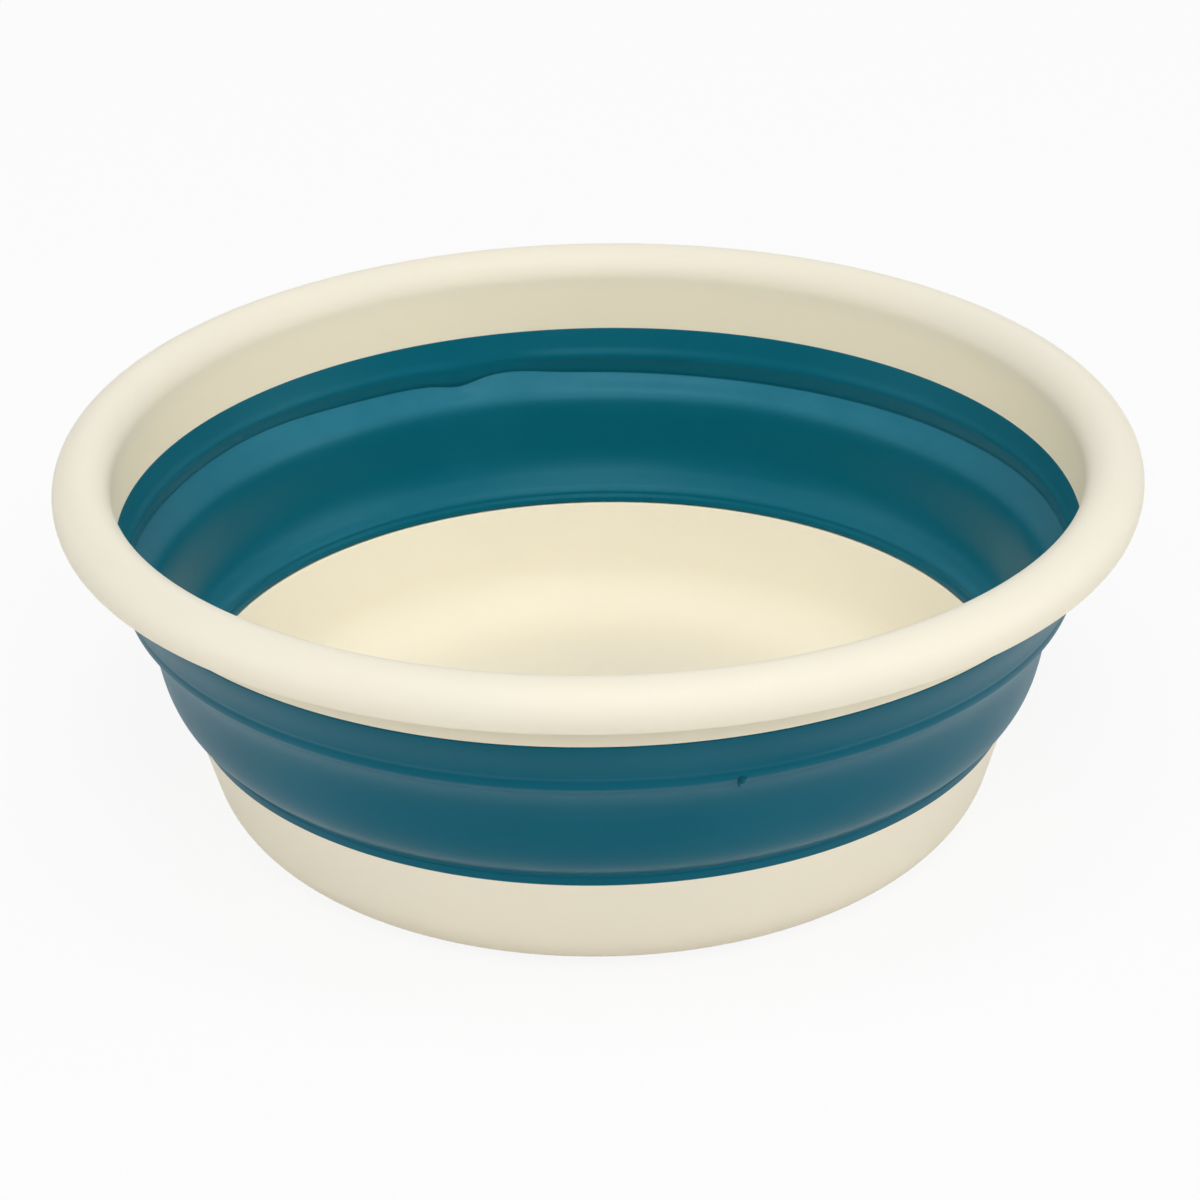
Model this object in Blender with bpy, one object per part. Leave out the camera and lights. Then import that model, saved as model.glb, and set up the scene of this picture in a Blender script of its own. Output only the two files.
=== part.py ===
"""Collapsible camp washbasin: a rigid rim and a rigid pan joined by a flexible band that folds.

Every piece is turned about the Z axis. The pan stands on Z = 0. The band is one moulding on
the real bowl. Here its folding stretch is cut by upright cylinders into nested rings, so that
each ring can slide down by its own share while the bowl is pressed flat.
"""

import math

import bmesh
import bpy
from mathutils import Vector

MM = 0.001

# Rim: the rolled lip and the upright collar below it
rim_radius = 190.0 * MM
lip_radius = 10.2 * MM
lip_wall = 2.4 * MM
skirt_angle = math.radians(24.0)
collar_height = 18.0 * MM
collar_wall = 3.1 * MM

# Band: heights and inward runs of its stretches, from the collar down to the pan
upper_height = 18.8 * MM
upper_run = 5.1 * MM
upper_top_angle = math.radians(11.5)
upper_end_angle = math.radians(3.0)
ridge_height = 2.3 * MM
ridge_run = 0.3 * MM
fold_height = 42.5 * MM
fold_run = 20.5 * MM
fold_top_angle = math.radians(50.0)
fold_end_angle = math.radians(57.0)
cuff_height = 4.2 * MM
cuff_run = 0.5 * MM
band_wall = 2.6 * MM
hinge_wall = 1.4 * MM

# Over-moulded edges: the band grips a thin tongue on the rim and on the pan
edge_step = 2.8 * MM
tongue_wall = 1.0 * MM
rim_tongue_depth = 6.0 * MM
pan_tongue_depth = 2.6 * MM
gap = 0.3 * MM

# Pan: the slanted wall, the wide corner and the flat floor
pan_height = 42.8 * MM
pan_wall = 2.6 * MM
pan_corner_radius = 26.0 * MM
pan_slant = math.radians(15.9)

# How finely the curves and the turning are divided
turn_steps = 60
lip_steps = 10
skirt_steps = 2
cap_steps = 3
upper_steps = 5
fold_steps = 12
tongue_steps = 2
corner_steps = 6
fold_ring_count = 5

# Where the curves pull, where the hinges thin the wall and where the fold is cut, as shares
upper_pull_share = 0.33
fold_pull_share = 0.38
hinge_start_share = 0.6
hinge_end_share = 0.14
groove_start_share = 0.93
first_cut_share = 0.03
last_cut_share = 0.97

# Levels and radii that follow from the sizes above
cuff_level = pan_height
groove_level = cuff_level + cuff_height
ridge_level = groove_level + fold_height
collar_level = ridge_level + upper_height
lip_level = collar_level + collar_height
lip_centre = rim_radius - lip_radius
collar_inner = lip_centre - lip_radius
collar_outer = collar_inner + collar_wall
ridge_radius = collar_outer - upper_run
groove_radius = ridge_radius - fold_run
pan_top_radius = groove_radius - cuff_run
skin = (band_wall - tongue_wall) / 2 - gap


def clear_scene():
    for item in list(bpy.data.objects):
        bpy.data.objects.remove(item, do_unlink=True)


def make_material(name, colour, roughness):
    material = bpy.data.materials.new(name)
    material.use_nodes = True
    shader = material.node_tree.nodes["Principled BSDF"]
    shader.inputs["Base Color"].default_value = (*colour, 1.0)
    shader.inputs["Roughness"].default_value = roughness
    shader.inputs["Metallic"].default_value = 0.0
    material.diffuse_color = (*colour, 1.0)
    return material


def arc(centre, radius, start, end, steps):
    """Points on an arc in the radius-height plane, both ends included."""
    points = []
    for step in range(steps + 1):
        angle = start + (end - start) * step / steps
        points.append(centre + radius * Vector((math.cos(angle), math.sin(angle))))
    return points


def inward(angle):
    """Unit vector that points down and leans towards the axis by the angle."""
    return Vector((-math.sin(angle), -math.cos(angle)))


def smoothstep(share):
    share = min(max(share, 0.0), 1.0)
    return share * share * (3.0 - 2.0 * share)


class Wall:
    """A wall whose outer face is a smooth curve from a top point to a bottom point."""

    def __init__(self, top, top_angle, bottom, bottom_angle, pull_share):
        reach = (bottom - top).length * pull_share
        self.points = (
            top,
            top + inward(top_angle) * reach,
            bottom - inward(bottom_angle) * reach,
            bottom,
        )

    def face(self, share):
        start, first, second, end = self.points
        rest = 1.0 - share
        return (
            start * rest**3
            + first * 3.0 * rest**2 * share
            + second * 3.0 * rest * share**2
            + end * share**3
        )

    def heading(self, share):
        start, first, second, end = self.points
        rest = 1.0 - share
        slope = (
            (first - start) * rest**2
            + (second - first) * 2.0 * rest * share
            + (end - second) * share**2
        )
        return slope.normalized()

    def inside(self, share, depth):
        """The point that lies the given depth behind the outer face, towards the axis."""
        ahead = self.heading(share)
        return self.face(share) + Vector((ahead.y, -ahead.x)) * depth

    def length(self):
        marks = [self.face(step / fold_steps) for step in range(fold_steps + 1)]
        return sum((after - before).length for before, after in zip(marks, marks[1:]))


def shares(start, end, steps):
    return [start + (end - start) * step / steps for step in range(steps + 1)]


# The three stretches of the band, each known by its outer face
upper_wall = Wall(
    Vector((collar_outer, collar_level)),
    upper_top_angle,
    Vector((ridge_radius + ridge_run, ridge_level + ridge_height)),
    upper_end_angle,
    upper_pull_share,
)
fold_wall = Wall(
    Vector((ridge_radius, ridge_level)),
    fold_top_angle,
    Vector((groove_radius, groove_level)),
    fold_end_angle,
    fold_pull_share,
)
cuff_angle = math.atan2(cuff_run, cuff_height)
cuff_wall = Wall(
    Vector((groove_radius, groove_level)),
    cuff_angle,
    Vector((pan_top_radius, cuff_level)),
    cuff_angle,
    upper_pull_share,
)
upper_length = upper_wall.length()
cuff_length = cuff_wall.length()
tongue_outer = skin + gap
tongue_inner = tongue_outer + tongue_wall
slot_outer = skin
slot_inner = tongue_inner + gap


def upper_thickness(share):
    thin = smoothstep((share - hinge_start_share) / (1.0 - hinge_start_share))
    return band_wall + (hinge_wall - band_wall) * thin


def fold_thickness(share):
    top = smoothstep(share / hinge_end_share)
    bottom = smoothstep((share - groove_start_share) / (1.0 - groove_start_share))
    return hinge_wall + (band_wall - hinge_wall) * (top - bottom)


def spin_solid(name, outline, material, parent=None):
    """Turns a closed outline about the Z axis into one solid. Points on the axis close it."""
    mesh = bpy.data.meshes.new(name)
    shape = bmesh.new()
    ring = [shape.verts.new((point.x, 0.0, point.y)) for point in outline]
    pairs = zip(ring, ring[1:] + ring[:1])
    edges = [
        shape.edges.new(pair)
        for pair in pairs
        if max(vert.co.x for vert in pair) > gap / 2
    ]
    bmesh.ops.spin(
        shape,
        geom=ring + edges,
        cent=(0.0, 0.0, 0.0),
        axis=(0.0, 0.0, 1.0),
        angle=math.tau,
        steps=turn_steps,
        use_merge=True,
    )
    bmesh.ops.remove_doubles(shape, verts=shape.verts, dist=gap / 1000)
    bmesh.ops.recalc_face_normals(shape, faces=shape.faces)
    shape.to_mesh(mesh)
    shape.free()
    mesh.shade_smooth()
    mesh.set_sharp_from_angle(angle=math.radians(30.0))
    solid = bpy.data.objects.new(name, mesh)
    bpy.context.scene.collection.objects.link(solid)
    mesh.materials.append(material)
    solid.parent = parent
    return solid


def slide_empty(name):
    """An empty on the bowl's axis, which carries what slides along it."""
    empty = bpy.data.objects.new(name, None)
    empty.empty_display_size = lip_radius
    bpy.context.scene.collection.objects.link(empty)
    return empty


def beyond_radius(outline, radius, keep_outer):
    """The part of a closed outline on one side of an upright line."""
    side = 1.0 if keep_outer else -1.0
    kept = []
    for before, after in zip(outline, outline[1:] + outline[:1]):
        before_in = (before.x - radius) * side >= 0.0
        after_in = (after.x - radius) * side >= 0.0
        if before_in:
            kept.append(before)
        if before_in != after_in:
            share = (radius - before.x) / (after.x - before.x)
            kept.append(before.lerp(after, share))
    return kept


def along(wall, depth, start, end, steps=tongue_steps):
    """Points at one depth behind a wall's outer face, between two shares of its length."""
    return [wall.inside(share, depth) for share in shares(start, end, steps)]


def rim_outline():
    """Rolled lip open underneath, collar, and the tongue that the band grips."""
    centre = Vector((lip_centre, lip_level))
    hollow = lip_radius - lip_wall
    collar_turn = math.acos((collar_outer - lip_centre) / hollow)
    over = arc(centre, lip_radius, math.pi, 0.0, lip_steps)
    over += arc(centre, lip_radius, 0.0, -skirt_angle, skirt_steps)[1:]
    middle = lip_radius - lip_wall / 2
    cap_centre = centre + middle * Vector((math.cos(skirt_angle), -math.sin(skirt_angle)))
    cap = arc(cap_centre, lip_wall / 2, -skirt_angle, -skirt_angle - math.pi, cap_steps)
    under = arc(centre, hollow, -skirt_angle, collar_turn, lip_steps)
    depth_share = (edge_step + rim_tongue_depth) / upper_length
    inner_share = edge_step / upper_length
    tongue_down = along(upper_wall, tongue_outer, 0.0, depth_share)
    tongue_up = along(upper_wall, tongue_inner, depth_share, inner_share)
    tongue_down[0].y = collar_level
    tongue_up[-1].y = collar_level - edge_step
    outer_edge = Vector((collar_outer, collar_level))
    inner_edge = Vector((collar_inner, collar_level - edge_step))
    return [*over, *cap[1:-1], *under, outer_edge, *tongue_down, *tongue_up, inner_edge]


def band_outline():
    """The whole band as one closed outline, with a slot for each tongue."""
    outer_top = collar_level - gap
    inner_top = collar_level - edge_step - gap
    top_share = gap / upper_length
    inner_share = (edge_step + gap) / upper_length
    slot_share = (edge_step + rim_tongue_depth + gap) / upper_length
    foot_share = 1.0 - gap / cuff_length
    cuff_slot_share = foot_share - pan_tongue_depth / cuff_length

    outer = along(upper_wall, 0.0, top_share, 1.0, upper_steps)
    outer += along(fold_wall, 0.0, 0.0, 1.0, fold_steps)
    outer += along(cuff_wall, 0.0, foot_share, foot_share, 1)[:1]
    cuff_slot = along(cuff_wall, slot_outer, foot_share, cuff_slot_share, 1)
    cuff_slot += along(cuff_wall, slot_inner, cuff_slot_share, foot_share, 1)
    inner = along(cuff_wall, band_wall, foot_share, cuff_slot_share, 1)
    for share in shares(1.0, 0.0, fold_steps):
        inner.append(fold_wall.inside(share, fold_thickness(share)))
    for share in shares(1.0, inner_share, upper_steps)[1:-1]:
        inner.append(upper_wall.inside(share, upper_thickness(share)))
    inner.append(Vector((collar_inner, inner_top)))
    slot_down = along(upper_wall, slot_inner, inner_share, slot_share)
    slot_up = along(upper_wall, slot_outer, slot_share, top_share)
    outer[0].y = outer_top
    slot_down[0].y = inner_top
    slot_up[-1].y = outer_top
    return outer + cuff_slot + inner + slot_down + slot_up


def cut_radii():
    """Radii of the upright cuts, from the cuff outwards to the upper ring."""
    cuts = shares(last_cut_share, first_cut_share, fold_ring_count)
    return [fold_wall.inside(share, band_wall / 2).x for share in cuts]


def pan_outline():
    """Pan from the centre of its floor, up the inside, over the tongue and down the outside."""
    tangent_level = pan_corner_radius * (1.0 - math.sin(pan_slant))
    tangent_radius = pan_top_radius - (pan_height - tangent_level) * math.tan(pan_slant)
    corner = Vector((tangent_radius - pan_corner_radius * math.cos(pan_slant), pan_corner_radius))
    start, end = -pan_slant, -math.pi / 2
    inner_corner = arc(corner, pan_corner_radius - pan_wall, end, start, corner_steps)
    outer_corner = arc(corner, pan_corner_radius, start, end, corner_steps)
    foot_share = 1.0 - pan_tongue_depth / cuff_length
    inner_top = Vector((pan_top_radius - pan_wall / math.cos(pan_slant), pan_height))
    tongue = [
        cuff_wall.inside(1.0, tongue_inner),
        cuff_wall.inside(foot_share, tongue_inner),
        cuff_wall.inside(foot_share, tongue_outer),
        cuff_wall.inside(1.0, tongue_outer),
    ]
    tongue[0].y = pan_height
    tongue[-1].y = pan_height
    outer_top = Vector((pan_top_radius, pan_height))
    floor_centre = Vector((0.0, pan_wall))
    foot_centre = Vector((0.0, 0.0))
    return [floor_centre, *inner_corner, inner_top, *tongue, outer_top, *outer_corner, foot_centre]


def build():
    clear_scene()
    cream = (0.89, 0.83, 0.70)
    teal = (0.012, 0.085, 0.125)
    spin_solid("base_pan", pan_outline(), make_material("pan_plastic", cream, 0.45))

    rim_slide = slide_empty("rim_slide")
    spin_solid("rim", rim_outline(), make_material("rim_plastic", cream, 0.4), rim_slide)

    band = band_outline()
    cuts = cut_radii()
    cuff = beyond_radius(band, cuts[0] - gap / 2, keep_outer=False)
    spin_solid("band_cuff", cuff, make_material("cuff_rubber", teal, 0.5))
    upper = beyond_radius(band, cuts[-1] + gap / 2, keep_outer=True)
    spin_solid("band_upper", upper, make_material("upper_rubber", teal, 0.5), rim_slide)

    for number, (low, high) in enumerate(zip(cuts, cuts[1:]), start=1):
        outline = beyond_radius(band, low + gap / 2, keep_outer=True)
        outline = beyond_radius(outline, high - gap / 2, keep_outer=False)
        slide = slide_empty(f"fold_slide_{number}")
        rubber = make_material(f"fold_rubber_{number}", teal, 0.5)
        spin_solid(f"band_fold_{number}", outline, rubber, slide)


build()
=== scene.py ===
# %% [markdown]
# # A camp washbasin that presses flat
# A basin of this kind is three mouldings: a stiff rim with a rolled lip, a stiff pan, and
# between them a soft rubber band that turns inside out when the rim is pushed down. The
# imported model holds their sizes and that slide. This lesson dresses the model with finely
# turned surfaces, a band with a real fold, and plastics that have their own grain.

# %% Load the imported model
import math

import bmesh
import bpy
import numpy as np
from mathutils import Matrix, Vector


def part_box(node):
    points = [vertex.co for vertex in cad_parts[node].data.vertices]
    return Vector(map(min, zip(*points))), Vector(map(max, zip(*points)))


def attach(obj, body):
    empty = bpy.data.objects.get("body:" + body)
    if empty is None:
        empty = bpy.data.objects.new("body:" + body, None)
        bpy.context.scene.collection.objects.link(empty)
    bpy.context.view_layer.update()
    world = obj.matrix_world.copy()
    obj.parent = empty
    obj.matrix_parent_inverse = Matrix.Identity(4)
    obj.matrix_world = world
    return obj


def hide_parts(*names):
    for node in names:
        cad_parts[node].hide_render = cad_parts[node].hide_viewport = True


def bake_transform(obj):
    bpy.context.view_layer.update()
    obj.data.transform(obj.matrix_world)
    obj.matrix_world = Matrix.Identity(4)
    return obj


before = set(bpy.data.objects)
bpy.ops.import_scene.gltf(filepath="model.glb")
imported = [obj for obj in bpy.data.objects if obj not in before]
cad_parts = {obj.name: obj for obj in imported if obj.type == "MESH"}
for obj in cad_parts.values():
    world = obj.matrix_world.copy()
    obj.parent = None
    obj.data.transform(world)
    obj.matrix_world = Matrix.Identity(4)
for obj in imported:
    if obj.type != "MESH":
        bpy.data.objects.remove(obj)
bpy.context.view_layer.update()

# %% [markdown]
# ## Sizes
# Everything is turned about one upright axis, so each moulding is known by radii and
# heights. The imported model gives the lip's outside. The rest are the mouldings' own sizes,
# in metres, and the levels follow from them.

# %% Sizes of the rim
MM = 0.001
rim_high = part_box("rim")[1]
rim_radius = rim_high.x
lip_radius = 10.2 * MM
lip_wall = 2.4 * MM
skirt_angle = math.radians(24.0)
collar_wall = 3.1 * MM
collar_height = 18.0 * MM

lip_level = rim_high.z - lip_radius
lip_centre = rim_radius - lip_radius
collar_level = lip_level - collar_height
collar_inner = lip_centre - lip_radius
collar_outer = collar_inner + collar_wall
print(f"rim radius {rim_radius:.4f}, lip centre {lip_level:.4f}, collar's end {collar_level:.4f}")

# %% Sizes of the band and of the pan
upper_height = 18.8 * MM
upper_run = 5.1 * MM
hinge_height = 2.3 * MM
hinge_run = 0.3 * MM
fold_height = 42.5 * MM
fold_run = 20.5 * MM
cuff_height = 4.2 * MM
cuff_run = 0.5 * MM
pan_wall = 2.6 * MM
pan_corner_radius = 26.0 * MM
pan_slant = math.radians(15.9)

ridge_level = collar_level - upper_height
groove_level = ridge_level - fold_height
pan_level = groove_level - cuff_height
ridge_radius = collar_outer - upper_run
groove_radius = ridge_radius - fold_run
pan_top_radius = groove_radius - cuff_run
seam = 0.12 * MM
print(f"ridge at {ridge_level:.4f}, groove at {groove_level:.4f}, pan's edge at {pan_level:.4f}")

# %% [markdown]
# ## Outlines
# A turned piece needs only its section. Arcs make the rolled lip and the pan's corner, and a
# cubic curve with a chosen lean at each end makes the slack walls of the band. Short helper
# functions keep each outline close to how a mould maker would describe it.


# %% Helpers that draw outlines
def arc(centre, radius, start, end, steps):
    """Points on an arc, both ends included, as radius and height."""
    turns = [start + (end - start) * step / steps for step in range(steps + 1)]
    return [Vector(centre) + radius * Vector((math.cos(turn), math.sin(turn))) for turn in turns]


def straight(start, end, steps):
    return [Vector(start).lerp(Vector(end), step / steps) for step in range(steps + 1)]


def leaning(angle):
    """A unit step downwards that leans towards the axis."""
    return Vector((-math.sin(angle), -math.cos(angle)))


def slack(top, top_angle, bottom, bottom_angle, pull_share, steps):
    """A cubic curve that leaves the top and reaches the bottom at the given leans."""
    top, bottom = Vector(top), Vector(bottom)
    reach = (bottom - top).length * pull_share
    first = top + leaning(top_angle) * reach
    second = bottom - leaning(bottom_angle) * reach
    points = []
    for step in range(steps + 1):
        share = step / steps
        rest = 1.0 - share
        points.append(
            top * rest**3
            + first * 3.0 * rest**2 * share
            + second * 3.0 * rest * share**2
            + bottom * share**3
        )
    return points


corner_steps = 4


def corner(before, at, after, radius, steps=corner_steps):
    """A rounded corner at one point of an outline, as points of a quadratic curve."""
    at = Vector(at)
    start = at + (Vector(before) - at).normalized() * radius
    end = at + (Vector(after) - at).normalized() * radius
    points = []
    for step in range(steps + 1):
        share = step / steps
        points.append(start.lerp(at, share).lerp(at.lerp(end, share), share))
    return points


def smooth(share):
    share = min(max(share, 0.0), 1.0)
    return share * share * (3.0 - 2.0 * share)


# %% [markdown]
# ## Turning an outline
# A Screw or Spin would turn the outline evenly. Here the mesh is written point by point
# instead, because the band is not quite round: a place function may push any point before
# it is set. Where an outline touches the axis its copies are merged into one point.


# %% A function that turns outlines into meshes
round_steps = 288
crease_angle = math.radians(38.0)
merge_gap = seam / 100


def turned(name, outline, turns, closed=True, place=None):
    """One mesh object from an outline of (radius, height) and a list of turning angles."""
    count = len(outline)
    points = []
    for turn in turns:
        for index, point in enumerate(outline):
            radius, height = point if place is None else place(point, turn)
            points.append((radius * math.cos(turn), radius * math.sin(turn), height))
    faces = []
    last = count if closed else count - 1
    for column in range(len(turns)):
        here = column * count
        there = (column + 1) % len(turns) * count
        for row in range(last):
            below = (row + 1) % count
            faces.append((here + row, here + below, there + below, there + row))
    mesh = bpy.data.meshes.new(name)
    mesh.from_pydata(points, [], faces)
    shape = bmesh.new()
    shape.from_mesh(mesh)
    if closed:
        bmesh.ops.remove_doubles(shape, verts=shape.verts, dist=merge_gap)
        bmesh.ops.recalc_face_normals(shape, faces=shape.faces)
    shape.to_mesh(mesh)
    shape.free()
    mesh.shade_smooth()
    mesh.set_sharp_from_angle(angle=crease_angle)
    piece = bpy.data.objects.new(name, mesh)
    bpy.context.scene.collection.objects.link(piece)
    return piece


def even_turns(steps):
    return [math.tau * step / steps for step in range(steps)]


# %% [markdown]
# ## The rim
# The lip is rolled over so that wet hands can hold it, and it is hollow underneath, as a
# moulding has to be to cool evenly. Its upright collar ends in a lap joint: the cream
# plastic reaches lower on the inside than on the outside, and the rubber covers the rest.

# %% Turn the rim
lap_depth = 1.45 * MM
lap_height = 2.8 * MM
rim_lap_radius = collar_outer - lap_depth
rim_lap_level = collar_level - lap_height
edge_round = 0.35 * MM
lip_steps, edge_steps, hollow_steps, collar_steps = 72, 12, 40, 10


def rim_outline():
    centre = Vector((lip_centre, lip_level))
    hollow = lip_radius - lip_wall
    collar_turn = math.acos((collar_outer - lip_centre) / hollow)
    over = arc(centre, lip_radius, math.pi, -skirt_angle, lip_steps)
    skirt = Vector((math.cos(skirt_angle), -math.sin(skirt_angle)))
    edge_centre = centre + (lip_radius - lip_wall / 2) * skirt
    edge = arc(edge_centre, lip_wall / 2, -skirt_angle, -skirt_angle - math.pi, edge_steps)
    under = arc(centre, hollow, -skirt_angle, collar_turn, hollow_steps)
    outer_foot = (collar_outer, collar_level)
    lap_top = (rim_lap_radius, collar_level)
    lap_foot = (rim_lap_radius, rim_lap_level)
    inner_foot = (collar_inner, rim_lap_level)
    foot = corner(under[-1], outer_foot, lap_top, edge_round)
    foot += [Vector(lap_top), Vector(lap_foot)]
    foot += corner(lap_foot, inner_foot, over[0], edge_round)
    inside = straight(foot[-1], over[0], collar_steps)
    return over + edge[1:-1] + under + foot + inside[1:-1]


rim_skin = turned("rim_skin", rim_outline(), even_turns(round_steps))
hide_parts("rim")
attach(rim_skin, "rim")
print("rim:", len(rim_skin.data.polygons), "faces")

# %% [markdown]
# ## The pan
# The pan is a plain dish with a wide corner, which a hand can wipe clean. Its floor is flat
# on both sides. Underneath, in the middle, stays the small scar where the molten plastic
# came in, a shallow dimple with a nib that cannot scratch a table.

# %% Turn the pan
scar_radius = 5.0 * MM
scar_depth = 0.5 * MM
nib_radius = 1.3 * MM
nib_height = 0.3 * MM
pan_corner_steps, floor_steps, wall_steps, underside_steps = 28, 16, 8, 14


def pan_outline():
    tangent_level = pan_corner_radius * (1.0 - math.sin(pan_slant))
    tangent_radius = pan_top_radius - (pan_level - tangent_level) * math.tan(pan_slant)
    centre = (tangent_radius - pan_corner_radius * math.cos(pan_slant), pan_corner_radius)
    inner_top = (pan_top_radius - pan_wall / math.cos(pan_slant), pan_level)
    outer_top = (pan_top_radius, pan_level)
    down = -math.pi / 2
    inner_radius = pan_corner_radius - pan_wall
    inner_corner = arc(centre, inner_radius, down, -pan_slant, pan_corner_steps)
    outer_corner = arc(centre, pan_corner_radius, -pan_slant, down, pan_corner_steps)
    floor = straight((0.0, pan_wall), inner_corner[0], floor_steps)
    inside = straight(inner_corner[-1], inner_top, wall_steps)
    outside = straight(outer_top, outer_corner[0], wall_steps)
    edge = corner(inside[-2], inner_top, outer_top, edge_round)
    edge += corner(inner_top, outer_top, outside[1], edge_round)
    underside = straight(outer_corner[-1], (scar_radius, 0.0), underside_steps)
    scar = [
        Vector((scar_radius - scar_depth, scar_depth)),
        Vector((nib_radius, scar_depth)),
        Vector((nib_radius - nib_height / 2, scar_depth - nib_height)),
        Vector((0.0, scar_depth - nib_height)),
    ]
    inner_side = floor[:-1] + inner_corner + inside[1:-1]
    outer_side = outside[1:-1] + outer_corner + underside[1:]
    return inner_side + edge + outer_side + scar


pan_skin = turned("pan_skin", pan_outline(), even_turns(round_steps))
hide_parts("base_pan")
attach(pan_skin, "base")
print("pan:", len(pan_skin.data.polygons), "faces")

# %% [markdown]
# ## The bending band
# The band has to bend smoothly from the pan to the rim, so it is one skin: its outer face is
# a mesh, and a Solidify modifier gives it its wall. The modifier works on whatever shape the
# skin has, so the wall would keep its thickness if the band were turned inside out. A
# vertex group thins the wall at the two hinges, as on the real moulding.

# %% Outer face of the band, from the collar down to the pan
bend_pull_share = 0.36
upper_pull_share = 0.33
fold_pull_share = 0.38
upper_top_angle = math.radians(11.5)
upper_end_angle = math.radians(3.0)
fold_top_angle = math.radians(50.0)
fold_end_angle = math.radians(57.0)
upper_steps, bend_steps, turn_in_steps, cuff_steps = 34, 10, 8, 5
fold_steps = 200
fold_stride = 3
bend_end_step = 6
near_end_step = bend_end_step + 12
groove_start_step = fold_steps - 5
groove_depth = 0.3 * MM
groove_foot = 1.1 * MM
dip_level = ridge_level + 3.6 * MM
dip_depth = 0.3 * MM
dip_spread = 0.75 * MM


def dip_at(height):
    """How deep the fine groove above the ridge is at a height."""
    return dip_depth * math.exp(-(((height - dip_level) / dip_spread) ** 2))


def band_face():
    """The outer face as radius and height, closely spaced where it turns sharply."""
    collar_foot = (collar_outer, collar_level - seam)
    hinge_top = (ridge_radius + hinge_run, ridge_level + hinge_height)
    upper = slack(
        collar_foot, upper_top_angle, hinge_top, upper_end_angle, upper_pull_share, upper_steps,
    )
    fold = slack(
        (ridge_radius, ridge_level), fold_top_angle,
        (groove_radius, groove_level), fold_end_angle, fold_pull_share, fold_steps,
    )
    hinge_end = (ridge_radius + hinge_run / 2, ridge_level + hinge_height / 2)
    bend_end, turn_start = fold[bend_end_step], fold[groove_start_step]
    bend = slack(hinge_end, upper_end_angle, bend_end, fold_top_angle, bend_pull_share, bend_steps)
    cuff_top = (groove_radius - groove_depth, groove_level - groove_foot)
    foot = (pan_top_radius - groove_depth, pan_level + seam)
    turn_in = slack(turn_start, fold_end_angle, cuff_top, 0.0, bend_pull_share, turn_in_steps)
    near_bend = fold[bend_end_step + 1:near_end_step]
    further = fold[near_end_step:groove_start_step:fold_stride]
    cuff = straight(cuff_top, foot, cuff_steps)
    face = upper + bend + near_bend + further + turn_in + cuff[1:]
    for point in face:
        point.x -= dip_at(point.y)
    return face


face = band_face()
print(f"band face: {len(face)} rows, from {face[0].y:.4f} down to {face[-1].y:.4f}")

# %% [markdown]
# The wall is thick where nothing bends and thin at the ridge and at the groove. A few pairs
# of height and wall describe it, and the heights between them are filled in smoothly.

# %% Wall thickness by height
lap_wall = 1.3 * MM
lap_foot_wall = 2.45 * MM
upper_wall = 2.2 * MM
bend_wall = 1.75 * MM
hinge_wall = 1.15 * MM
thinnest_wall = 1.05 * MM
ledge_wall = 2.6 * MM
full_wall = 2.4 * MM
groove_wall = 1.5 * MM
foot_wall = 2.3 * MM
step_wall = 0.55 * MM
thickest = upper_wall + step_wall
step_level = ridge_level + 6.2 * MM
wall_keys = (
    (collar_level, lap_wall),
    (rim_lap_level - seam / 2, lap_wall),
    (rim_lap_level - seam, lap_foot_wall),
    (ridge_level + 9.2 * MM, upper_wall),
    (step_level, upper_wall),
    (ridge_level + 2.6 * MM, bend_wall),
    (ridge_level + 0.2 * MM, hinge_wall),
    (ridge_level - 0.4 * MM, hinge_wall),
    (ridge_level - 2.0 * MM, thinnest_wall),
    (ridge_level - 9.5 * MM, ledge_wall),
    (ridge_level - 20.0 * MM, full_wall),
    (groove_level + 5.0 * MM, full_wall),
    (groove_level + 0.2 * MM, groove_wall),
    (groove_level - groove_foot, groove_wall),
    (groove_level - 2.2 * MM, foot_wall),
    (pan_level, foot_wall),
)


def wall_at(height):
    for (high, high_wall), (low, low_wall) in zip(wall_keys, wall_keys[1:]):
        if height >= low:
            share = smooth((high - height) / (high - low))
            return high_wall + (low_wall - high_wall) * share
    return wall_keys[-1][1]


for level in (collar_level, ridge_level, groove_level):
    print(f"wall at {level:.4f}: {wall_at(level) / MM:.2f} mm")

# %% [markdown]
# A rubber band that has been folded never springs back quite true. Seen from inside, its
# ridge sags a little at the back and is pinched up at one place, and outside there is one
# shallow wrinkle. Each is a bump with a place around the bowl and a width, both in degrees,
# and a height. The same kind of bump says where the step above the ridge has been flattened.

# %% Ripples that folding leaves in the band
ridge_sags = (
    (15.0, 10.0, 1.2 * MM),
    (70.0, 24.0, -2.3 * MM),
    (101.6, 3.6, 1.6 * MM),
    (108.8, 2.2, -2.1 * MM),
    (125.0, 6.0, -0.6 * MM),
    (141.0, 10.0, 1.4 * MM),
)
ridge_swells = (
    (111.0, 4.5, -0.7 * MM),
    (291.0, 4.5, 0.6 * MM),
)
step_fades = (
    (20.0, 24.0, -0.7),
    (103.5, 3.6, -1.0),
    (140.0, 20.0, -0.7),
)
sag_reach = 6.0 * MM
swell_reach = 3.0 * MM
swell_level = ridge_level + 3.0 * MM


def bump_sum(bumps, turn):
    total = 0.0
    for middle, width, size in bumps:
        away = (math.degrees(turn) - middle + 180.0) % 360.0 - 180.0
        total += size * math.exp(-0.5 * (away / width) ** 2)
    return total


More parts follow.
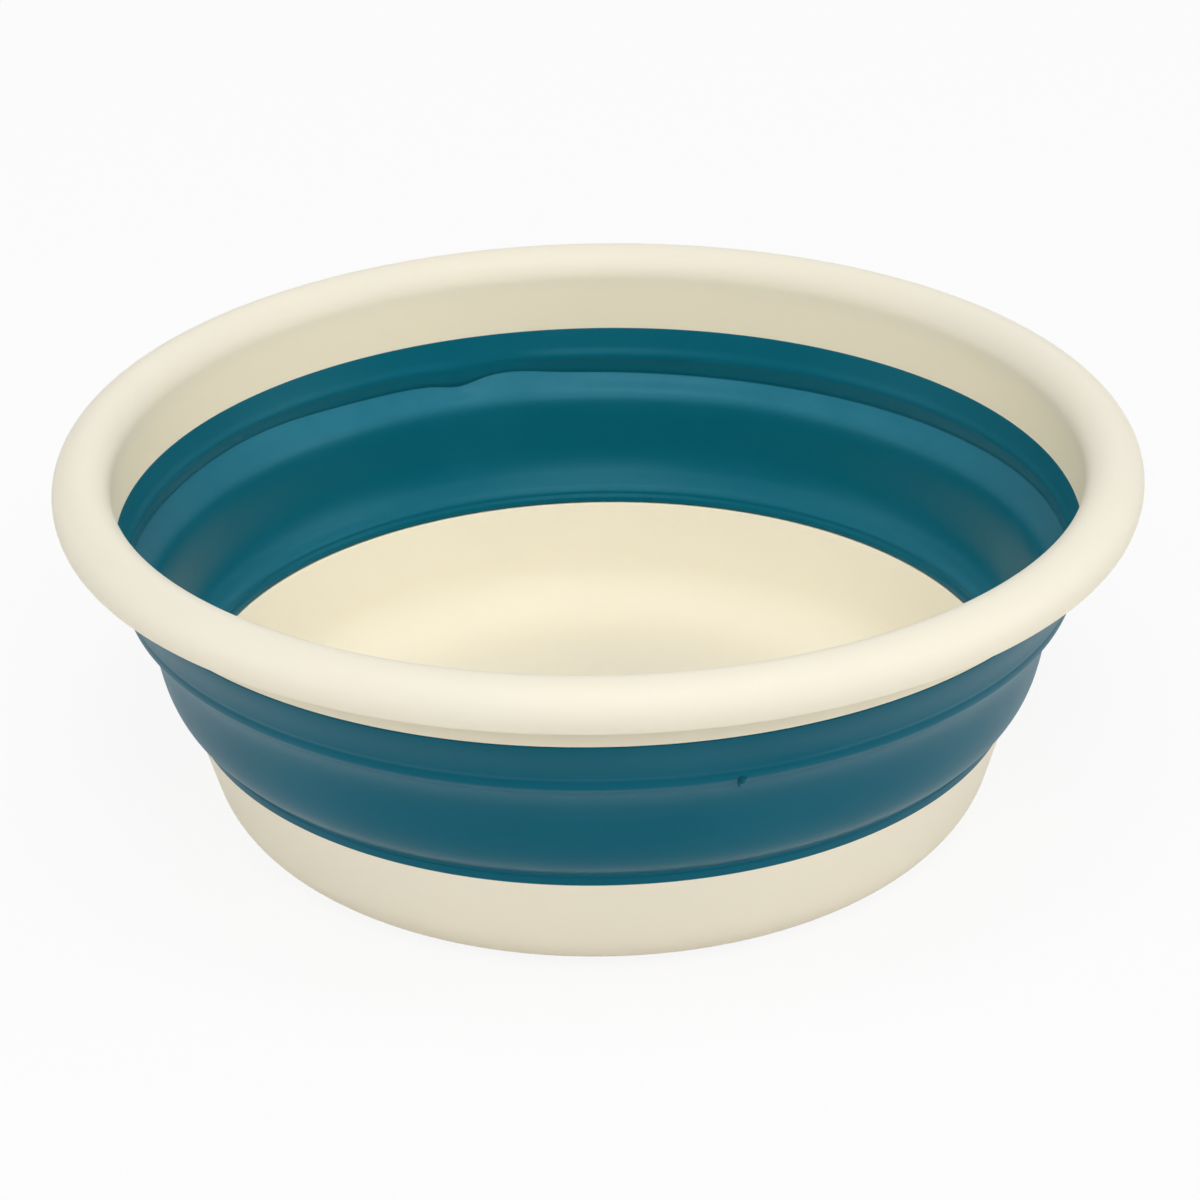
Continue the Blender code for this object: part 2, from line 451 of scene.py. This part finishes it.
def rippled(point, turn):
    """A point of the band's face after its ridge has sagged and swollen."""
    sag = bump_sum(ridge_sags, turn) * math.exp(-(((point.y - ridge_level) / sag_reach) ** 2))
    swell = bump_sum(ridge_swells, turn) * math.exp(-(((point.y - swell_level) / swell_reach) ** 2))
    return point.x + swell, point.y + sag


# %% Build the skin, closer together where the ridge is pinched
pinch_start, pinch_step, pinch_steps = 98.0, 0.35, 50
least_turn = 0.0015
pinch_turns = [math.radians(pinch_start + pinch_step * step) for step in range(pinch_steps)]
all_turns = sorted(set(even_turns(round_steps)) | set(pinch_turns))
pairs = zip(all_turns, all_turns[1:] + [math.tau])
band_turns = [turn for turn, after in pairs if after - turn > least_turn]
band_skin = turned("band_skin", face, band_turns, closed=False, place=rippled)
print("band skin:", len(band_skin.data.polygons), "faces before its wall is added")

# %% [markdown]
# Above the ridge the inner face has a soft step, where the mould was relieved for the fold.
# Folding has flattened it in places, so the wall depends on the place round the bowl too.

# %% Give the skin its wall
step_above = 3.0 * MM
step_below = 3.6 * MM


def step_at(height):
    if height > step_level:
        return 1.0 - smooth((height - step_level) / step_above)
    return 1.0 - smooth((step_level - height) / step_below)


walls = [wall_at(point.y) - dip_at(point.y) for point in face]
steps = [step_wall * step_at(point.y) for point in face]
wall_group = band_skin.vertex_groups.new(name="wall")
for column, turn in enumerate(band_turns):
    kept = min(max(1.0 + bump_sum(step_fades, turn), 0.0), 1.0)
    for row in range(len(face)):
        share = (walls[row] + kept * steps[row]) / thickest
        wall_group.add([column * len(face) + row], share, "REPLACE")

along_band = band_skin.data.attributes.new("along_band", "FLOAT", "POINT")
heights = [(point.y - groove_level) / (collar_level - groove_level) for point in face]
along_band.data.foreach_set("value", np.tile(np.array(heights, np.float32), len(band_turns)))

wall = band_skin.modifiers.new("wall", "SOLIDIFY")
wall.thickness = thickest
wall.offset = -1.0
wall.vertex_group = wall_group.name
wall.use_rim = True
wall.material_offset = 1

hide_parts("band_upper", "band_cuff", *[f"band_fold_{number}" for number in range(1, 6)])
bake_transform(band_skin)
print(f"the band follows the pan below {groove_level:.4f} and the rim above {ridge_level:.4f}")

# %% [markdown]
# ## The cuff's shoulder
# Where the rubber grips the pan it is stiffened on the outside by a low flat band with a
# rounded shoulder. It never bends, so it is a thin ring of its own that lies on the skin,
# and the line between the two is the fine groove that runs round the real basin.

# %% Turn the shoulder
shoulder_drop = 1.3 * MM
shoulder_proud = 0.4 * MM
shoulder_depth = 1.0 * MM
shoulder_round = 2 * edge_round
shoulder_steps = 6
pan_lap = 0.6 * MM


def shoulder_outline():
    foot_level = pan_level - pan_lap
    outer_foot = (pan_top_radius, foot_level)
    shoulder_level = groove_level - shoulder_drop
    shoulder = (pan_top_radius + shoulder_proud, shoulder_level)
    groove = (groove_radius - shoulder_depth, shoulder_level + shoulder_proud)
    inner_foot = (pan_top_radius - shoulder_depth, foot_level)
    outline = corner(inner_foot, outer_foot, shoulder, edge_round)
    outline += corner(outer_foot, shoulder, groove, shoulder_round, shoulder_steps)
    outline += [Vector(groove), Vector(inner_foot)]
    return outline


shoulder = turned("cuff_shoulder", shoulder_outline(), even_turns(round_steps))
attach(shoulder, "base")
print("shoulder:", len(shoulder.data.polygons), "faces")

# %% [markdown]
# ## The gate mark
# The rubber was injected through a pin gate on the outside, right on the ridge. When the
# sprue is torn off it leaves a low nub with a hooked lip round it, a few millimetres tall. The
# nub is a squashed sphere, and the hook is a bead drawn along a handful of points.

# %% Model the gate mark
mark_turn = math.radians(285.3)
mark_level = ridge_level - 0.2 * MM
mark_radius = ridge_radius - 0.7 * MM
nub_half = Vector((1.25 * MM, 1.2 * MM, 1.6 * MM))
nub_shift = Vector((0.45 * MM, 0.0, -0.25 * MM))
hook_points = (
    (1.35 * MM, 0.6 * MM),
    (1.15 * MM, 1.2 * MM),
    (0.35 * MM, 1.6 * MM),
    (-0.55 * MM, 1.25 * MM),
    (-1.0 * MM, 0.1 * MM),
    (-1.15 * MM, -1.2 * MM),
    (-0.7 * MM, -2.1 * MM),
)
hook_thickness = 0.52 * MM
hook_sink_share = 0.75
hook_tip_share = 0.45
hook_steps, hook_sides = 6, 10
nub_segments, nub_rings = 32, 20


def through(points, steps):
    """A smooth line through a few points, as a Catmull-Rom spline."""
    points = [Vector(point) for point in points]
    points = [2 * points[0] - points[1]] + points + [2 * points[-1] - points[-2]]
    line = []
    for before, start, end, after in zip(points, points[1:], points[2:], points[3:]):
        for step in range(steps):
            share = step / steps
            bend = 2 * before - 5 * start + 4 * end - after
            twist = 3 * start - before - 3 * end + after
            line.append(start + ((end - before) * share + bend * share**2 + twist * share**3) / 2)
    return line + [points[-2]]


def gate_mark():
    mesh = bpy.data.meshes.new("gate_mark")
    shape = bmesh.new()
    sphere = bmesh.ops.create_uvsphere(
        shape, u_segments=nub_segments, v_segments=nub_rings, radius=1.0,
    )
    for vertex in sphere["verts"]:
        vertex.co = Vector(size * value for size, value in zip(nub_half, vertex.co)) + nub_shift
    line = through(hook_points, hook_steps)
    last = len(line) - 1
    sides = [math.tau * side / hook_sides for side in range(hook_sides)]
    out = Vector((0.0, -1.0, 0.0))
    rings = []
    for index, (sideways, up) in enumerate(line):
        before, after = line[max(index - 1, 0)], line[min(index + 1, last)]
        along = (after - before).normalized()
        across = Vector((along.y, 0.0, -along.x))
        place = Vector((sideways, -nub_half.y * hook_sink_share, up))
        swell = (1.0 - hook_tip_share) * math.sin(math.pi * index / last)
        thick = hook_thickness * (hook_tip_share + swell)
        rings.append([
            shape.verts.new(place + (across * math.cos(turn) + out * math.sin(turn)) * thick)
            for turn in sides
        ])
    hook_faces = []
    for before, after in zip(rings, rings[1:]):
        for side in range(hook_sides):
            following = (side + 1) % hook_sides
            quad = (before[side], before[following], after[following], after[side])
            hook_faces.append(shape.faces.new(quad))
    hook_faces.append(shape.faces.new(rings[0]))
    hook_faces.append(shape.faces.new(rings[-1]))
    for hook_face in hook_faces:
        # The hook takes the second material, a darker teal that is painted shade.
        hook_face.material_index = 1
    bmesh.ops.recalc_face_normals(shape, faces=shape.faces)
    turn_round = Matrix.Rotation(mark_turn + math.pi / 2, 4, "Z")
    shape.transform(turn_round @ Matrix.Translation((0.0, -mark_radius, mark_level)))
    shape.to_mesh(mesh)
    shape.free()
    mesh.shade_smooth()
    mark = bpy.data.objects.new("gate_mark", mesh)
    bpy.context.scene.collection.objects.link(mark)
    return mark


mark = gate_mark()
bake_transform(mark)
print("gate mark:", len(mark.data.polygons), "faces")

# %% [markdown]
# ## Shader sums that read like sums
# A material is a graph of nodes. To keep the recipes readable, one small class wraps a
# node's output and turns +, - and * into Math nodes. A second class holds the node tree,
# and its one method adds every other kind of node.


# %% A wire and a recipe
class Wire:
    """An output of a shader node that can be added, subtracted and multiplied."""

    def __init__(self, recipe, socket):
        self.recipe = recipe
        self.socket = socket

    def maths(self, operation, first, second):
        return self.recipe.node("ShaderNodeMath", {"operation": operation}, {0: first, 1: second})

    def __add__(self, other):
        return self.maths("ADD", self, other)

    def __radd__(self, other):
        return self.maths("ADD", other, self)

    def __sub__(self, other):
        return self.maths("SUBTRACT", self, other)

    def __rsub__(self, other):
        return self.maths("SUBTRACT", other, self)

    def __mul__(self, other):
        return self.maths("MULTIPLY", self, other)

    def __rmul__(self, other):
        return self.maths("MULTIPLY", other, self)


class Recipe:
    """The node tree of one material or world."""

    def __init__(self, owner):
        owner.use_nodes = True
        self.tree = owner.node_tree
        self.tree.nodes.clear()

    def node(self, kind, settings, inputs, output=0):
        """Adds one node: its settings first, then the value or the wire of each input."""
        node = self.tree.nodes.new(kind)
        for name, value in settings.items():
            setattr(node, name, value)
        for name, value in inputs.items():
            if isinstance(value, Wire):
                self.tree.links.new(value.socket, node.inputs[name])
            else:
                node.inputs[name].default_value = value
        return Wire(self, node.outputs[output]) if node.outputs else None

    def noise(self, place, scale, detail=2.0, roughness=0.5):
        """Soft random values from 0 to 1, finer with a larger scale."""
        inputs = {"Vector": place, "Scale": scale, "Detail": detail, "Roughness": roughness}
        return self.node("ShaderNodeTexNoise", {}, inputs)

    def mixed(self, factor, first, second):
        """A colour between two colours."""
        inputs = {"Factor": factor, "A": first, "B": second}
        return self.node("ShaderNodeMix", {"data_type": "RGBA"}, inputs, "Result")

    def rise(self, value, low, high):
        """0 where the value is under low, 1 where it is over high."""
        inputs = {"Value": value, "From Min": low, "From Max": high}
        return self.node("ShaderNodeMapRange", {"interpolation_type": "SMOOTHSTEP"}, inputs)


# %% [markdown]
# ## Cream plastic
# Polypropylene for bowls is moulded against a finely blasted steel face, so it is satin: soft
# wide highlights, a faint grain under the fingertips, and slow cloudy changes where the melt
# cooled at different speeds. Colour, roughness and bump each take a little of that. The rim's
# upright collar is painted lighter and warmer than its lip, which is painted light, and the lip
# is painted darker, which is painted shade, so the cream changes slowly between two heights.

# %% Cream plastic
grain_depth = 0.3 * MM
cream_cloud_scale, cream_rub_scale, mottle_scale, cream_grain_scale = 9.0, 34.0, 420.0, 1500.0
cloud_low, cloud_high = 0.3, 0.75
deeper_share = 0.5
rub_shine, mottle_shine = 0.09, 0.05
mottle_bump_share = 0.4
cream_bump = 0.06


def cream_plastic(name, low_cream, high_cream, change_levels, deeper, roughness):
    material = bpy.data.materials.new(name)
    recipe = Recipe(material)
    place = recipe.node("ShaderNodeTexCoord", {}, {}, "Object")
    height = recipe.node("ShaderNodeSeparateXYZ", {}, {"Vector": place}, "Z")
    clouds = recipe.noise(place, cream_cloud_scale, detail=3.0)
    rubbed = recipe.noise(place, cream_rub_scale, detail=5.0, roughness=0.62)
    mottle = recipe.noise(place, mottle_scale)
    grain = recipe.noise(place, cream_grain_scale, detail=2.0, roughness=0.6)
    # On the rim this blend by height is painted light on the collar and painted shade on the lip.
    cream = recipe.mixed(recipe.rise(height, *change_levels), low_cream, high_cream)
    cloudy = deeper_share * recipe.rise(clouds, cloud_low, cloud_high)
    colour = recipe.mixed(cloudy, cream, deeper)
    shine = roughness + rub_shine * (rubbed - 0.5) + mottle_shine * (mottle - 0.5)
    bump = recipe.node("ShaderNodeBump", {}, {
        "Height": (1.0 - mottle_bump_share) * grain + mottle_bump_share * mottle,
        "Strength": cream_bump,
        "Distance": grain_depth,
    }, "Normal")
    plastic = recipe.node("ShaderNodeBsdfPrincipled", {}, {
        "Base Color": colour,
        "Roughness": shine,
        "Normal": bump,
        "IOR": 1.49,
        "Specular IOR Level": 0.15,
    })
    recipe.node("ShaderNodeOutputMaterial", {}, {"Surface": plastic})
    return material


# The collar's lighter, warmer cream is painted light and the lip's darker cream is painted shade.
collar_cream_painted_light = (0.985, 0.905, 0.710, 1.0)
lip_cream_painted_shade = (0.878, 0.829, 0.698, 1.0)
deeper_cream = (0.930, 0.860, 0.690, 1.0)
basin_cream = (0.985, 0.905, 0.725, 1.0)
collar_to_lip = (lip_level - 8.0 * MM, lip_level + 6.0 * MM)
floor_to_edge = (0.0, pan_level)
rim_roughness, pan_roughness = 0.45, 0.48
rim_cream = cream_plastic(
    "rim_cream", collar_cream_painted_light, lip_cream_painted_shade, collar_to_lip, deeper_cream, rim_roughness,
)
pan_cream = cream_plastic(
    "pan_cream", basin_cream, basin_cream, floor_to_edge, deeper_cream, pan_roughness,
)
rim_skin.data.materials.append(rim_cream)
pan_skin.data.materials.append(pan_cream)
print("materials:", rim_cream.name, pan_cream.name)

# %% [markdown]
# ## Teal rubber
# The band is a thermoplastic rubber. It is deep teal and nearly matt, and its reflection is
# teal too, except where light grazes it. A chalky teal on the ledge under the ridge and along
# the groove is partly the whitening that folding leaves and partly painted light; it is more on
# the inside, and most at the back of the inside, which is painted light. It follows a value
# stored along the band, so it stays in place when the band bends.

# %% Teal rubber
ridge_share = (ridge_level - groove_level) / (collar_level - groove_level)
ledge_low_share = ridge_share - 0.19
ledge_full_share = ridge_share - 0.10
ledge_edge_share = 0.012
groove_full_share = 0.05
groove_high_share = 0.13
back_painted_light_reach = (0.03, 0.14)
rubber_cloud_scale, handling_scale, rubber_grain_scale = 14.0, 46.0, 1300.0
rubber_cloud_low, rubber_cloud_high = 0.45, 0.8
cloud_dust = 0.10
least_handling, handling_swing = 0.6, 0.8
rubber_roughness, handling_shine = 0.36, 0.08
rubber_bump = 0.08


def teal_rubber(name, teal, chalk_and_painted_light_colour, ledge_chalk_and_painted_light, back_painted_light, groove_chalk_and_painted_light):
    material = bpy.data.materials.new(name)
    recipe = Recipe(material)
    place = recipe.node("ShaderNodeTexCoord", {}, {}, "Object")
    along = recipe.node("ShaderNodeAttribute", {"attribute_name": "along_band"}, {}, "Fac")
    clouds = recipe.noise(place, rubber_cloud_scale, detail=3.0)
    handling = recipe.noise(place, handling_scale, detail=5.0, roughness=0.65)
    grain = recipe.noise(place, rubber_grain_scale, detail=3.0, roughness=0.6)
    past_ridge = recipe.rise(along, ridge_share, ridge_share + ledge_edge_share)
    on_ledge = recipe.rise(along, ledge_low_share, ledge_full_share) * (1.0 - past_ridge)
    past_groove = recipe.rise(along, groove_full_share, groove_high_share)
    on_groove = recipe.rise(along, -ledge_edge_share, 0.0) * (1.0 - past_groove)
    depth = recipe.node("ShaderNodeSeparateXYZ", {}, {"Vector": place}, "Y")
    # Painted light: a lighter teal at the back of the inside, added to the ledge's chalky whitening
    # and painted light.
    ledge_and_back_painted_light = ledge_chalk_and_painted_light + back_painted_light * recipe.rise(depth, *back_painted_light_reach)
    uneven = least_handling + handling_swing * handling
    chalk_and_painted_light_mask = (ledge_and_back_painted_light * on_ledge + groove_chalk_and_painted_light * on_groove) * uneven
    cloudy = recipe.rise(clouds, rubber_cloud_low, rubber_cloud_high)
    chalk_and_painted_light_share = chalk_and_painted_light_mask + cloud_dust * cloudy
    shine = rubber_roughness + handling_shine * (handling - 0.5)
    bump_inputs = {"Height": grain, "Strength": rubber_bump, "Distance": grain_depth}
    bump = recipe.node("ShaderNodeBump", {}, bump_inputs, "Normal")
    rubber = recipe.node("ShaderNodeBsdfPrincipled", {}, {
        "Base Color": recipe.mixed(chalk_and_painted_light_share, teal, chalk_and_painted_light_colour),
        "Roughness": shine,
        "Normal": bump,
        "IOR": 1.5,
        "Specular IOR Level": 0.35,
        "Specular Tint": (0.20, 0.45, 0.50, 1.0),
        "Sheen Weight": 0.03,
        "Sheen Roughness": 0.3,
        "Sheen Tint": (0.55, 0.8, 1.0, 1.0),
    })
    recipe.node("ShaderNodeOutputMaterial", {}, {"Surface": rubber})
    return material


deep_teal = (0.0, 0.106, 0.160, 1.0)
# A lighter teal: partly chalky whitening, partly painted light.
chalky_and_painted_light_teal = (0.03, 0.200, 0.285, 1.0)
# A darker teal that is painted shade on the hook of the gate mark.
painted_shade_teal = (0.0, 0.060, 0.088, 1.0)
outside_teal = teal_rubber(
    "outside_teal", deep_teal, chalky_and_painted_light_teal, ledge_chalk_and_painted_light=0.12, back_painted_light=0.0, groove_chalk_and_painted_light=0.0,
)
inside_teal = teal_rubber(
    "inside_teal", deep_teal, chalky_and_painted_light_teal, ledge_chalk_and_painted_light=0.08, back_painted_light=0.55, groove_chalk_and_painted_light=0.22,
)
hook_painted_shade = teal_rubber(
    "hook_painted_shade", painted_shade_teal, deep_teal, ledge_chalk_and_painted_light=0.0, back_painted_light=0.0, groove_chalk_and_painted_light=0.0,
)
band_skin.data.materials.append(outside_teal)
band_skin.data.materials.append(inside_teal)
shoulder.data.materials.append(outside_teal)
mark.data.materials.append(outside_teal)
mark.data.materials.append(hook_painted_shade)
print("materials:", outside_teal.name, inside_teal.name, hook_painted_shade.name)

# %% [markdown]
# ## Floor and world
# The basin stands on a plain white sweep. The floor is a matt white sheet that keeps the
# basin's soft shadow, and part of what the camera sees of it glows at strength 1, which is
# white. The world is as bright as the far floor, so that no horizon shows from low down.

# %% Floor
floor_half = 8.0
floor_drop = 0.1 * MM
floor_glow_share = 0.88
floor_mirrored_share = 0.3
white = (1.0, 1.0, 1.0, 1.0)
sheet_white = (0.86, 0.86, 0.86, 1.0)


def make_floor():
    mesh = bpy.data.meshes.new("floor")
    signs = ((-1, -1), (1, -1), (1, 1), (-1, 1))
    corners = [(across * floor_half, along * floor_half, -floor_drop) for across, along in signs]
    mesh.from_pydata(corners, [], [(0, 1, 2, 3)])
    sheet = bpy.data.objects.new("floor", mesh)
    bpy.context.scene.collection.objects.link(sheet)
    material = bpy.data.materials.new("white_sweep")
    recipe = Recipe(material)
    matt = recipe.node("ShaderNodeBsdfDiffuse", {}, {"Color": sheet_white})
    glow = recipe.node("ShaderNodeEmission", {}, {"Color": white, "Strength": 1.0})
    seen = recipe.node("ShaderNodeLightPath", {}, {}, "Is Camera Ray")
    mirrored = recipe.node("ShaderNodeLightPath", {}, {}, "Is Glossy Ray")
    glow_share = floor_glow_share * (seen + floor_mirrored_share * mirrored)
    both = recipe.node("ShaderNodeMixShader", {}, {"Fac": glow_share, 1: matt, 2: glow})
    recipe.node("ShaderNodeOutputMaterial", {}, {"Surface": both})
    mesh.materials.append(material)
    return sheet


floor = make_floor()
print("floor:", 2 * floor_half, "m square")

# %% World
room_strength = 0.24
backdrop_strength = 0.9


def make_world():
    world = bpy.data.worlds.new("studio")
    recipe = Recipe(world)
    seen = recipe.node("ShaderNodeLightPath", {}, {}, "Is Camera Ray")
    mirrored = recipe.node("ShaderNodeLightPath", {}, {}, "Is Glossy Ray")
    dim = {"Color": white, "Strength": room_strength}
    bright = {"Color": white, "Strength": backdrop_strength}
    room = recipe.node("ShaderNodeBackground", {}, dim)
    backdrop = recipe.node("ShaderNodeBackground", {}, bright)
    open_share = seen + mirrored
    both = recipe.node("ShaderNodeMixShader", {}, {"Fac": open_share, 1: room, 2: backdrop})
    recipe.node("ShaderNodeOutputWorld", {}, {"Surface": both})
    return world


bpy.context.scene.world = make_world()
print("world: strength", backdrop_strength, "to the camera and in reflections, else", room_strength)

# %% [markdown]
# ## Lamps
# The light is a plain product set: one soft box high up, a little towards the camera, that
# draws the pale streaks on the ledges of the band, one in front that fills the near side, one
# to each side, and a weak one behind the basin. The four main ones hang far away, so the near
# and the far side of the lip get almost the same light. All are wide, so no shadow is hard.


# %% Lamps
def soft_box(name, place, aim, width, height, watts):
    lamp = bpy.data.lights.new(name, "AREA")
    lamp.shape = "RECTANGLE"
    lamp.size = width
    lamp.size_y = height
    lamp.energy = watts
    holder = bpy.data.objects.new(name, lamp)
    bpy.context.scene.collection.objects.link(holder)
    holder.location = place
    holder.rotation_euler = (Vector(aim) - Vector(place)).to_track_quat("-Z", "Y").to_euler()
    return holder


middle = (0.0, 0.0, collar_level)
soft_box("overhead", (0.0, -0.9, 3.69), middle, width=2.2, height=1.6, watts=48.0)
soft_box("front_top", (0.0, -3.2, 2.88), middle, width=2.6, height=1.8, watts=60.0)
soft_box("left_side", (-3.8, -0.6, 1.49), middle, width=2.2, height=2.4, watts=27.0)
soft_box("right_side", (3.6, -0.6, 1.49), middle, width=2.2, height=2.4, watts=41.5)
soft_box("behind", (0.0, 1.9, 1.1), middle, width=2.0, height=1.0, watts=4.2)

# %% [markdown]
# ## Camera
# The picture was taken from the front and above with a long lens, and the camera was very
# slightly rolled. The place, the tilt and the focal length are measured from the ellipses of
# the lip, the band and the pan.

# %% Camera
view_distance = 1.2825
view_height = 0.7213
view_tilt = math.radians(26.82)
view_roll = math.radians(1.0)
film_width = 36.0
focal_length = 121.08

lens = bpy.data.cameras.new("camera")
lens.sensor_width = film_width
lens.lens = focal_length
camera = bpy.data.objects.new("camera", lens)
bpy.context.scene.collection.objects.link(camera)
aim = Matrix.Rotation(math.pi / 2 - view_tilt, 4, "X") @ Matrix.Rotation(-view_roll, 4, "Z")
camera.matrix_world = Matrix.Translation((0.0, -view_distance, view_height)) @ aim
bpy.context.scene.camera = camera
bpy.context.scene.view_settings.view_transform = "Standard"
print("camera at", [round(value, 4) for value in camera.location])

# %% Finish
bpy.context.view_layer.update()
